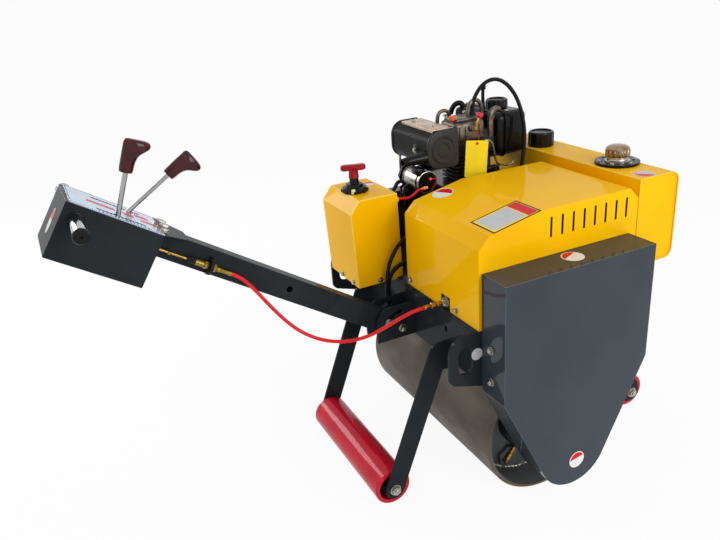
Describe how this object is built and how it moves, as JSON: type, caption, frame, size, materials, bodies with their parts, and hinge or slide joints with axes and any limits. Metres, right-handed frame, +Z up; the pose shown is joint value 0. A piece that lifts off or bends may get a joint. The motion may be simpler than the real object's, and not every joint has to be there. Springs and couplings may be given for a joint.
{
  "type": "walk-behind road roller",
  "caption": "Walk-behind vibratory road roller: smooth steel drum between side plates, engine, hood and cross tank above, small support rollers front and rear, and a long pivoting handle.",
  "frame": {"origin": "on the ground, below the middle of the drum's axis", "axes": "+X forward, away from the handle; +Y to the machine's left, along the drum's axis; +Z up"},
  "size_m": [1.7733, 0.892, 1.1546],
  "materials": {
    "yellow_paint": "satin",
    "grey_paint": "satin",
    "raw_steel": "rolled",
    "zinc_steel": "satin",
    "chrome": "polished",
    "red_urethane": "satin",
    "black_rubber": "matte",
    "black_plastic": "matte",
    "maroon_plastic": "gloss",
    "engine_paint": "satin",
    "cast_alloy": "cast",
    "brass": "satin",
    "panel_metal": "satin"
  },
  "bodies": {
    "machine": {"axle_stubs": "grey_paint", "side_plate_right": "grey_paint", "side_plate_left": "grey_paint", "rear_beam": "grey_paint", "front_beam": "grey_paint", "deck": "grey_paint", "side_cover_right": "grey_paint", "side_cover_left": "grey_paint", "rear_roller_bracket": "grey_paint", "front_roller_bracket": "grey_paint", "hood": "yellow_paint", "tank": "yellow_paint", "tank_brackets": "grey_paint", "filler_caps": "black_plastic", "oil_breather": "chrome", "battery_box": "yellow_paint", "battery_tray": "grey_paint", "battery": "black_plastic", "battery_switch": "black_plastic", "engine_mounts": "grey_paint", "crankcase": "engine_paint", "cylinder": "cast_alloy", "flywheel_housing": "engine_paint", "starter_motor": "engine_paint", "muffler": "engine_paint", "air_filter": "black_plastic", "fuel_tank": "engine_paint", "hydraulic_pump": "cast_alloy", "hose_fittings": "zinc_steel", "handle_ears": "grey_paint", "cable_gland": "brass", "control_cable": "red_urethane", "drive_hoses": "black_rubber", "breather_hose": "black_rubber", "fuel_pipe": "zinc_steel", "battery_cables": "black_rubber"},
    "drum": {"drum_shell": "raw_steel", "drum_discs": "grey_paint"},
    "rear_roller": {"rear_roller_sleeve": "red_urethane", "rear_roller_core": "zinc_steel"},
    "front_roller": {"front_roller_sleeve": "red_urethane", "front_roller_core": "zinc_steel"},
    "handle": {"handle_arm": "grey_paint", "handle_wing": "grey_paint", "control_box": "grey_paint", "control_panel": "panel_metal", "control_floor": "grey_paint", "grips": "chrome", "levers": "zinc_steel", "lever_knobs": "maroon_plastic", "cable_fitting": "zinc_steel"}
  },
  "joints": [
    {"name": "drum_spin", "type": "hinge", "parent": "machine", "child": "drum", "pos_m": [0, 0, 0.204], "axis": [0, 1, 0], "continuous": true},
    {"name": "rear_roller_spin", "type": "hinge", "parent": "machine", "child": "rear_roller", "pos_m": [-0.4405, 0, 0.0557], "axis": [0, 1, 0], "continuous": true},
    {"name": "front_roller_spin", "type": "hinge", "parent": "machine", "child": "front_roller", "pos_m": [0.46226, 0, 0.14034], "axis": [0, 1, 0], "continuous": true},
    {"name": "handle_lift", "type": "hinge", "parent": "machine", "child": "handle", "pos_m": [-0.32225, -0.012, 0.46801], "axis": [0, 1, 0], "range_deg": [0, 57]}
  ]
}
